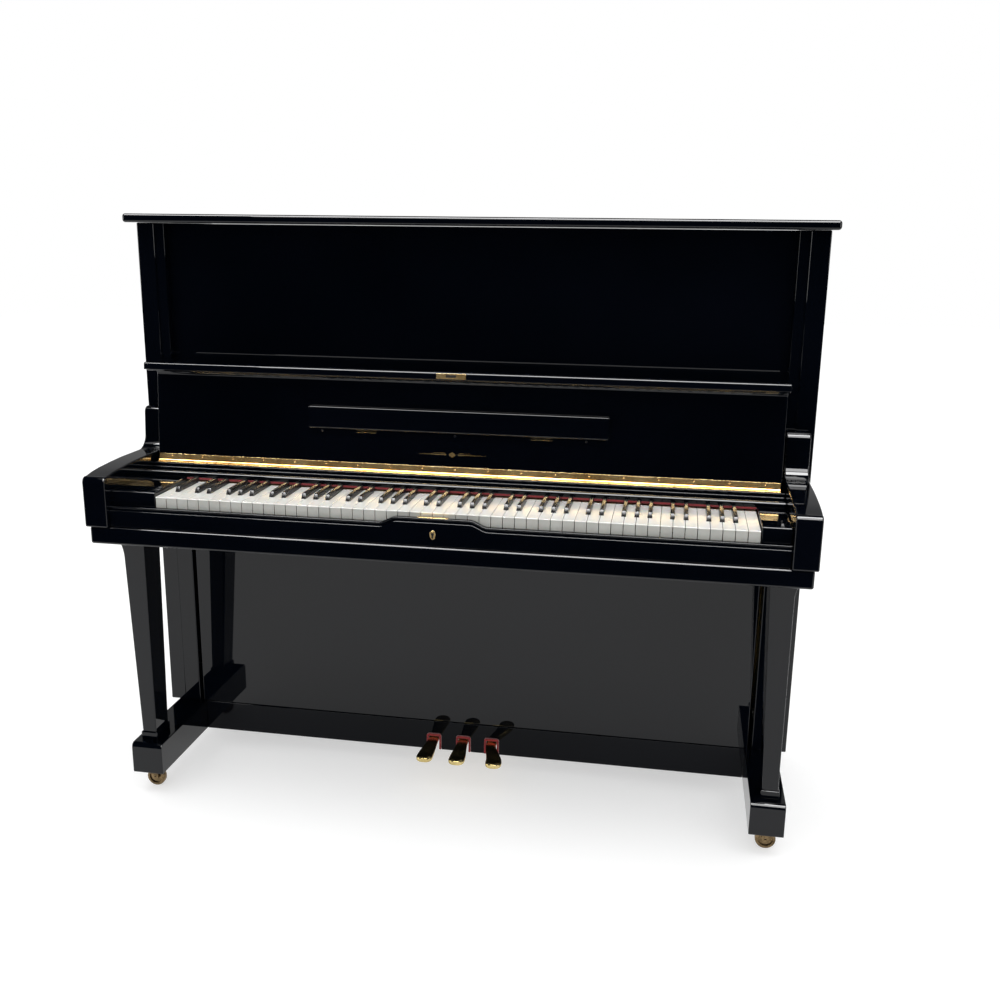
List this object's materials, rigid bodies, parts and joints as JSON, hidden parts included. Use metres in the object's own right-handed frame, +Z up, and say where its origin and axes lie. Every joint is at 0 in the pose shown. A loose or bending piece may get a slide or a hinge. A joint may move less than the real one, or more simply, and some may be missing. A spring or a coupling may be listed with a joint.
{
  "type": "upright piano",
  "caption": "Tall upright piano in polished black, with its fallboard open over the keys, a folding music desk, turned-out legs, pedals and casters.",
  "frame": {"origin": "on the floor under the middle of the overall box", "axes": "+X along the keyboard towards the treble, -Y towards the player, +Z up"},
  "size_m": [1.53, 0.65, 1.31],
  "materials": {
    "black_lacquer": "polished black polyester lacquer",
    "brass": "polished brass",
    "caster_brass": "brass-finished iron",
    "keys": "white acrylic tops with black sharps",
    "wood": "plain spruce and beech",
    "red_felt": "woven red felt",
    "bronze_iron": "bronze-lacquered cast iron",
    "steel": "steel and copper-wound wire",
    "hammer_felt": "pressed white felt on maple"
  },
  "bodies": {
    "case": {"side_board_left": "black_lacquer", "side_board_right": "black_lacquer", "toe_left": "black_lacquer", "toe_right": "black_lacquer", "leg_left": "black_lacquer", "leg_right": "black_lacquer", "arm_left": "black_lacquer", "arm_right": "black_lacquer", "key_bed": "black_lacquer", "key_slip": "black_lacquer", "lock_plate": "brass", "key_block_left": "black_lacquer", "key_block_right": "black_lacquer", "key_frame": "wood", "key_felt": "red_felt", "fallboard_rail": "black_lacquer", "fallboard_hinge": "brass", "upper_panel": "black_lacquer", "lid_rear": "black_lacquer", "lid_hinge": "brass", "back_frame": "wood", "soundboard": "wood", "iron_plate": "bronze_iron", "strings": "steel", "action_frame": "bronze_iron", "bottom_board": "black_lacquer", "caster_fork_front_left": "caster_brass", "caster_fork_front_right": "caster_brass", "caster_fork_rear_left": "caster_brass", "caster_fork_rear_right": "caster_brass"},
    "lid_front": {"lid_front": "black_lacquer"},
    "fallboard": {"fallboard": "black_lacquer", "hinge_leaf": "brass", "lock_strike": "brass"},
    "music_desk": {"music_desk": "black_lacquer"},
    "lower_panel": {"lower_panel": "black_lacquer"},
    "hammer_rail": {"hammer_rail": "wood"},
    "hammers": {"hammers": "hammer_felt"},
    "dampers": {"dampers": "wood"},
    "muffler_rail": {"muffler_rail": "red_felt"},
    "keys_A0_B1": {"keys_A0_B1": "keys"},
    "keys_C2_B2": {"keys_C2_B2": "keys"},
    "keys_C3_B3": {"keys_C3_B3": "keys"},
    "keys_C4_B4": {"keys_C4_B4": "keys"},
    "keys_C5_B5": {"keys_C5_B5": "keys"},
    "keys_C6_B6": {"keys_C6_B6": "keys"},
    "keys_C7_C8": {"keys_C7_C8": "keys"},
    "pedal_soft": {"pedal_soft": "brass"},
    "trap_lever_soft": {"trap_lever_soft": "wood"},
    "pedal_rod_soft": {"pedal_rod_soft": "wood"},
    "pedal_middle": {"pedal_middle": "brass"},
    "trap_lever_middle": {"trap_lever_middle": "wood"},
    "pedal_rod_middle": {"pedal_rod_middle": "wood"},
    "pedal_sustain": {"pedal_sustain": "brass"},
    "trap_lever_sustain": {"trap_lever_sustain": "wood"},
    "pedal_rod_sustain": {"pedal_rod_sustain": "wood"},
    "caster_wheel_front_left": {"caster_wheel_front_left": "caster_brass"},
    "caster_wheel_front_right": {"caster_wheel_front_right": "caster_brass"},
    "caster_wheel_rear_left": {"caster_wheel_rear_left": "caster_brass"},
    "caster_wheel_rear_right": {"caster_wheel_rear_right": "caster_brass"}
  },
  "joints": [
    {"name": "lid_fold", "type": "hinge", "parent": "case", "child": "lid_front", "pos_m": [0, 0.175, 1.308], "axis": [-1, 0, 0], "range_deg": [0, 180]},
    {"name": "fallboard_close", "type": "hinge", "parent": "case", "child": "fallboard", "pos_m": [0, -0.0985, 0.77], "axis": [1, 0, 0], "range_deg": [0, 89]},
    {"name": "music_desk_fold", "type": "hinge", "parent": "fallboard", "child": "music_desk", "pos_m": [0, -0.09914, 0.85789], "axis": [-1, 0, 0], "range_deg": [-88, 0]},
    {"name": "lower_panel_tilt", "type": "hinge", "parent": "case", "child": "lower_panel", "pos_m": [0, 0.0245, 0.1283], "axis": [1, 0, 0], "range_deg": [0, 15]},
    {"name": "key_dip_A0_B1", "type": "hinge", "parent": "case", "child": "keys_A0_B1", "pos_m": [0.0197, -0.0845, 0.703], "axis": [1, 0, 0], "range_deg": [0, 2.6], "stiffness_Nm_per_rad": 10, "springref_deg": -6.88},
    {"name": "key_dip_C2_B2", "type": "hinge", "parent": "case", "child": "keys_C2_B2", "pos_m": [0.0197, -0.0845, 0.703], "axis": [1, 0, 0], "range_deg": [0, 2.6], "stiffness_Nm_per_rad": 10, "springref_deg": -6.88},
    {"name": "key_dip_C3_B3", "type": "hinge", "parent": "case", "child": "keys_C3_B3", "pos_m": [0.0197, -0.0845, 0.703], "axis": [1, 0, 0], "range_deg": [0, 2.6], "stiffness_Nm_per_rad": 10, "springref_deg": -6.88},
    {"name": "key_dip_C4_B4", "type": "hinge", "parent": "case", "child": "keys_C4_B4", "pos_m": [0.0197, -0.0845, 0.703], "axis": [1, 0, 0], "range_deg": [0, 2.6], "stiffness_Nm_per_rad": 10, "springref_deg": -6.88},
    {"name": "key_dip_C5_B5", "type": "hinge", "parent": "case", "child": "keys_C5_B5", "pos_m": [0.0197, -0.0845, 0.703], "axis": [1, 0, 0], "range_deg": [0, 2.6], "stiffness_Nm_per_rad": 10, "springref_deg": -6.88},
    {"name": "key_dip_C6_B6", "type": "hinge", "parent": "case", "child": "keys_C6_B6", "pos_m": [0.0197, -0.0845, 0.703], "axis": [1, 0, 0], "range_deg": [0, 2.6], "stiffness_Nm_per_rad": 10, "springref_deg": -6.88},
    {"name": "key_dip_C7_C8", "type": "hinge", "parent": "case", "child": "keys_C7_C8", "pos_m": [0.0197, -0.0845, 0.703], "axis": [1, 0, 0], "range_deg": [0, 2.6], "stiffness_Nm_per_rad": 10, "springref_deg": -6.88},
    {"name": "pedal_soft_press", "type": "hinge", "parent": "case", "child": "pedal_soft", "pos_m": [-0.0735, 0.1945, 0.082], "axis": [1, 0, 0], "range_deg": [0, 4], "stiffness_Nm_per_rad": 40, "springref_deg": -8.59},
    {"name": "pedal_middle_press", "type": "hinge", "parent": "case", "child": "pedal_middle", "pos_m": [-0.001, 0.1945, 0.082], "axis": [1, 0, 0], "range_deg": [0, 4], "stiffness_Nm_per_rad": 40, "springref_deg": -8.59},
    {"name": "pedal_sustain_press", "type": "hinge", "parent": "case", "child": "pedal_sustain", "pos_m": [0.068, 0.1945, 0.082], "axis": [1, 0, 0], "range_deg": [0, 4], "stiffness_Nm_per_rad": 40, "springref_deg": -8.59},
    {"name": "trap_lever_soft_rock", "type": "hinge", "parent": "case", "child": "trap_lever_soft", "pos_m": [-0.33, 0.1095, 0.143], "axis": [0, 1, 0], "range_deg": [0, 1.39]},
    {"name": "pedal_rod_soft_lift", "type": "slide", "parent": "case", "child": "pedal_rod_soft", "axis": [0, 0, 1], "range_m": [0, 0.00656]},
    {"name": "trap_lever_middle_rock", "type": "hinge", "parent": "case", "child": "trap_lever_middle", "pos_m": [-0.33, 0.1315, 0.143], "axis": [0, 1, 0], "range_deg": [0, 0.804]},
    {"name": "pedal_rod_middle_lift", "type": "slide", "parent": "case", "child": "pedal_rod_middle", "axis": [0, 0, 1], "range_m": [0, 0.00337]},
    {"name": "trap_lever_sustain_rock", "type": "hinge", "parent": "case", "child": "trap_lever_sustain", "pos_m": [-0.33, 0.1535, 0.143], "axis": [0, 1, 0], "range_deg": [0, 0.433]},
    {"name": "pedal_rod_sustain_lift", "type": "slide", "parent": "case", "child": "pedal_rod_sustain", "axis": [0, 0, 1], "range_m": [0, 0.00159]},
    {"name": "hammer_rail_swing", "type": "hinge", "parent": "case", "child": "hammer_rail", "pos_m": [0, 0.1134, 0.915], "axis": [-1, 0, 0], "range_deg": [0, 7]},
    {"name": "hammer_strike", "type": "hinge", "parent": "hammer_rail", "child": "hammers", "pos_m": [0, 0.1134, 0.915], "axis": [1, 0, 0], "range_deg": [-21, 0], "stiffness_Nm_per_rad": 1.5, "springref_deg": 17.19},
    {"name": "damper_lift", "type": "hinge", "parent": "case", "child": "dampers", "pos_m": [0, 0.1909, 0.916], "axis": [1, 0, 0], "range_deg": [0, 5]},
    {"name": "muffler_drop", "type": "slide", "parent": "case", "child": "muffler_rail", "axis": [0, 0, -1], "range_m": [0, 0.035]},
    {"name": "caster_front_left_roll", "type": "hinge", "parent": "case", "child": "caster_wheel_front_left", "pos_m": [-0.6995, -0.174, 0.022], "axis": [0, 1, 0], "continuous": true},
    {"name": "caster_front_right_roll", "type": "hinge", "parent": "case", "child": "caster_wheel_front_right", "pos_m": [0.6995, -0.174, 0.022], "axis": [0, 1, 0], "continuous": true},
    {"name": "caster_rear_left_roll", "type": "hinge", "parent": "case", "child": "caster_wheel_rear_left", "pos_m": [-0.6995, 0.276, 0.022], "axis": [0, 1, 0], "continuous": true},
    {"name": "caster_rear_right_roll", "type": "hinge", "parent": "case", "child": "caster_wheel_rear_right", "pos_m": [0.6995, 0.276, 0.022], "axis": [0, 1, 0], "continuous": true}
  ],
  "couplings": [
    {"joint": "trap_lever_soft_rock", "follows": "pedal_soft_press", "ratio": 0.33138},
    {"joint": "pedal_rod_soft_lift", "follows": "pedal_soft_press", "m_per_rad": 0.08947},
    {"joint": "trap_lever_middle_rock", "follows": "pedal_middle_press", "ratio": 0.19149},
    {"joint": "pedal_rod_middle_lift", "follows": "pedal_middle_press", "m_per_rad": 0.04596},
    {"joint": "trap_lever_sustain_rock", "follows": "pedal_sustain_press", "ratio": 0.10302},
    {"joint": "pedal_rod_sustain_lift", "follows": "pedal_sustain_press", "m_per_rad": 0.02163},
    {"joint": "hammer_rail_swing", "follows": "pedal_soft_press", "ratio": 1.7325},
    {"joint": "muffler_drop", "follows": "pedal_middle_press", "m_per_rad": 0.4963},
    {"joint": "damper_lift", "follows": "pedal_sustain_press", "ratio": 1.2375}
  ]
}
